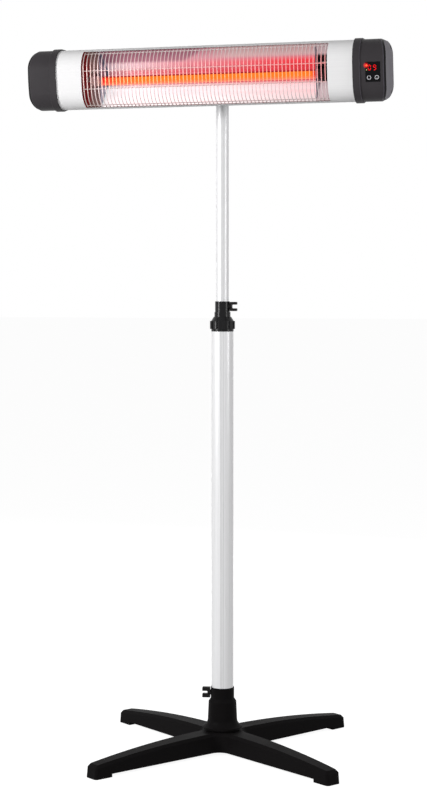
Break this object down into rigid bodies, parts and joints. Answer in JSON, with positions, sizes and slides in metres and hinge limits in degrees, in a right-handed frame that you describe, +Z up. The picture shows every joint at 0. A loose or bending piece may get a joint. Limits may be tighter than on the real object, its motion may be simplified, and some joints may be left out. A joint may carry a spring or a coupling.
{
  "type": "patio heater",
  "caption": "Infrared patio heater: a long rounded lamp head with a wire guard and a control panel, on a telescopic mast with a cross base",
  "frame": {"origin": "on the floor under the mast, in the middle of the cross base", "axes": "+Z up along the mast, -Y the way the lamp faces, +X along the head towards the end with the control panel"},
  "size_m": [0.8146, 0.6232, 1.5978],
  "materials": {
    "black_plastic": "satin black, fine grain",
    "cap_plastic": "satin charcoal",
    "cover_plastic": "satin charcoal, a little lighter",
    "panel_gloss": "gloss black",
    "key_plastic": "black with a pale ring",
    "housing_silver": "satin silver",
    "tube_silver": "satin silver",
    "grille_wire": "bright plated wire",
    "reflector_mirror": "polished sheet",
    "quartz": "clear quartz",
    "element": "glowing orange",
    "ceramic": "unglazed, pale",
    "holder_steel": "plain sheet",
    "bracket_steel": "satin black",
    "screw_steel": "zinc plated",
    "stud_steel": "plain",
    "brass": "plain",
    "rubber": "matt black",
    "wire_sleeve": "pale heat-proof sleeve",
    "board": "green board",
    "component": "black moulding",
    "led": "red lens"
  },
  "bodies": {
    "base": {"base_hub": "black_plastic", "leg_front_left": "black_plastic", "leg_front_right": "black_plastic", "leg_rear_left": "black_plastic", "leg_rear_right": "black_plastic", "foot_pads": "rubber", "leg_screws": "screw_steel", "base_sleeve": "black_plastic", "sleeve_screws": "screw_steel", "lower_wing_insert": "brass"},
    "lower_wing": {"lower_wing_grip": "black_plastic", "lower_wing_stud": "stud_steel"},
    "lower_mast": {"lower_tube": "tube_silver", "tube_foot_plug": "black_plastic", "clamp_body": "black_plastic", "clamp_bush": "black_plastic", "upper_wing_insert": "brass"},
    "ring_nut": {"clamp_nut": "black_plastic"},
    "upper_wing": {"upper_wing_grip": "black_plastic", "upper_wing_stud": "stud_steel"},
    "upper_mast": {"upper_tube": "tube_silver", "tube_guide": "black_plastic", "mast_head": "black_plastic", "mast_head_screw": "screw_steel"},
    "head": {"housing": "housing_silver", "end_cap_left": "cap_plastic", "end_cap_right": "cap_plastic", "cap_gasket_left": "rubber", "cap_gasket_right": "rubber", "end_cover_left": "cover_plastic", "end_cover_right": "cover_plastic", "cap_screws": "screw_steel", "cover_screws": "screw_steel", "tilt_bracket": "bracket_steel", "bracket_screws": "screw_steel", "tilt_washers": "black_plastic", "tilt_bolt": "screw_steel", "guard_grille": "grille_wire", "reflector": "reflector_mirror", "reflector_end_left": "reflector_mirror", "reflector_end_right": "reflector_mirror", "lamp_tube": "quartz", "heating_element": "element", "lamp_end_left": "ceramic", "lamp_end_right": "ceramic", "lamp_holder_left": "holder_steel", "lamp_holder_right": "holder_steel", "lamp_leads": "wire_sleeve", "control_window": "panel_gloss", "control_board": "board", "tact_switches": "component", "display_module": "component", "indicator_leds": "led", "control_relay": "component", "terminal_block": "component", "cable_gland": "black_plastic"},
    "tilt_lock": {"tilt_knob": "black_plastic"},
    "power_key": {"power_button": "key_plastic"},
    "mode_key": {"mode_button": "key_plastic"}
  },
  "joints": [
    {"name": "mast_pan", "type": "hinge", "parent": "base", "child": "lower_mast", "pos_m": [0, 0, 0.1], "axis": [0, 0, 1], "continuous": true},
    {"name": "lower_wing_turn", "type": "hinge", "parent": "base", "child": "lower_wing", "pos_m": [-0.03741, -0.00666, 0.1343], "axis": [-0.9845, -0.1754, 0], "continuous": true},
    {"name": "height_slide", "type": "slide", "parent": "lower_mast", "child": "upper_mast", "axis": [0, 0, 1], "range_m": [-0.4, 0.25]},
    {"name": "ring_nut_turn", "type": "hinge", "parent": "lower_mast", "child": "ring_nut", "pos_m": [0, 0, 0.9775], "axis": [0, 0, 1], "range_deg": [-15, 200]},
    {"name": "upper_wing_turn", "type": "hinge", "parent": "lower_mast", "child": "upper_wing", "pos_m": [0.026, 0, 1.0149], "axis": [1, 0, 0], "continuous": true},
    {"name": "head_tilt", "type": "hinge", "parent": "upper_mast", "child": "head", "pos_m": [0, -0.0391, 1.5396], "axis": [1, 0, 0], "range_deg": [-25, 35]},
    {"name": "tilt_knob_turn", "type": "hinge", "parent": "head", "child": "tilt_lock", "pos_m": [0.024, -0.0391, 1.5396], "axis": [1, 0, 0], "continuous": true},
    {"name": "power_press", "type": "slide", "parent": "head", "child": "power_key", "axis": [0, 0.9898, 0.1426], "range_m": [0, 0.0007], "stiffness_N_per_m": 1000, "springref_m": -0.0003},
    {"name": "mode_press", "type": "slide", "parent": "head", "child": "mode_key", "axis": [0, 0.9898, 0.1426], "range_m": [0, 0.0007], "stiffness_N_per_m": 1000, "springref_m": -0.0003}
  ]
}
